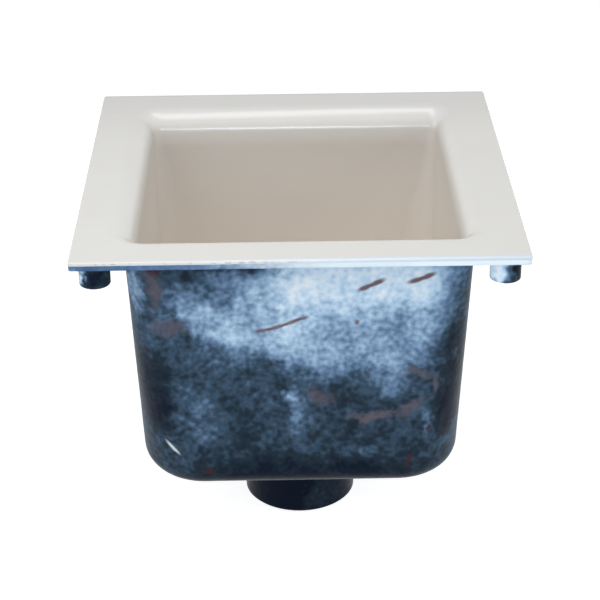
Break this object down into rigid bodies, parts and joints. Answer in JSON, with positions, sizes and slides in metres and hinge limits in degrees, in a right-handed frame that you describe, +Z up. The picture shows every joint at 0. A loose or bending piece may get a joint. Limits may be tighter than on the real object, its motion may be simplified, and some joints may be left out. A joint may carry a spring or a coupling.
{
  "type": "floor sink",
  "caption": "Square flanged floor sink: enamelled cast-iron bowl with a rolled edge, round lugs under the rim, a spigot outlet and a domed strainer that lifts out.",
  "frame": {"origin": "centre of the outlet spigot's lower end, which is also the lowest point", "axes": "+Z up along the drain's axis, +Y towards the back of the pictured view, +X to its right"},
  "size_m": [0.3048, 0.3048, 0.2715],
  "materials": {
    "painted_iron": "cast iron with mottled blue-black paint",
    "white_enamel": "glossy warm white vitreous enamel",
    "cast_aluminium": "as-cast satin"
  },
  "bodies": {
    "sink": {"sink_casting": "painted_iron", "enamel_lining": "white_enamel"},
    "strainer": {"dome_strainer": "cast_aluminium"}
  },
  "joints": [
    {"name": "strainer_lift", "type": "slide", "parent": "sink", "child": "strainer", "axis": [0, 0, 1], "range_m": [0, 0.24]}
  ]
}
